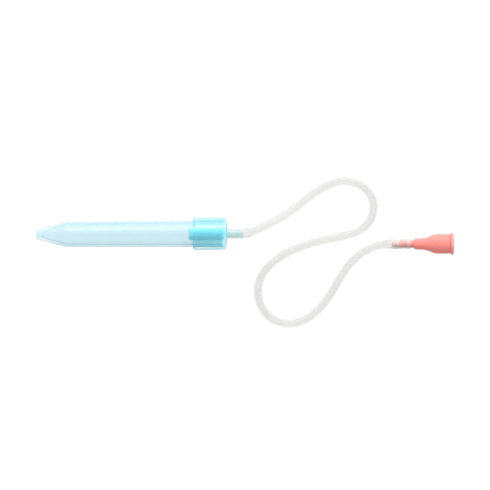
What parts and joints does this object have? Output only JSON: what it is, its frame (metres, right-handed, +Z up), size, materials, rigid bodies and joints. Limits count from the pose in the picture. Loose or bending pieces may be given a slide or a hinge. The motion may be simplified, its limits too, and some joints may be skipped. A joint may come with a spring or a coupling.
{
  "type": "nasal aspirator",
  "caption": "Suction-tube nasal aspirator: clear tapered nasal tube, tinted filter cap with foam filter, soft hose and flared mouthpiece.",
  "frame": {"origin": "centre of the nasal opening, in the plane of the tip", "axes": "+X along the tube from the tip towards the hose, +Z up from the surface the object lies on, +Y to the left of +X"},
  "size_m": [0.2981, 0.1075, 0.0234],
  "materials": {
    "tube_plastic": "translucent, pale cyan, smooth",
    "cap_plastic": "translucent, cyan, smooth",
    "filter_foam": "open-cell foam",
    "hose_silicone": "milky, satin",
    "mouthpiece_plastic": "opaque, coral, satin"
  },
  "bodies": {
    "cap_body": {"filter_cap": "cap_plastic"},
    "tube_body": {"nasal_tube": "tube_plastic"},
    "filter_body": {"foam_filter": "filter_foam"},
    "hose_body": {"hose": "hose_silicone"},
    "mouthpiece_body": {"mouthpiece": "mouthpiece_plastic"}
  },
  "joints": [
    {"name": "tube_pull", "type": "slide", "parent": "cap_body", "child": "tube_body", "axis": [-1, 0, 0], "range_m": [0, 0.04]},
    {"name": "filter_pull", "type": "slide", "parent": "cap_body", "child": "filter_body", "axis": [-1, 0, 0], "range_m": [0, 0.024]},
    {"name": "hose_pull", "type": "slide", "parent": "cap_body", "child": "hose_body", "axis": [1, 0, 0], "range_m": [0, 0.015]},
    {"name": "mouthpiece_pull", "type": "slide", "parent": "hose_body", "child": "mouthpiece_body", "axis": [1, 0, 0], "range_m": [0, 0.016]}
  ]
}
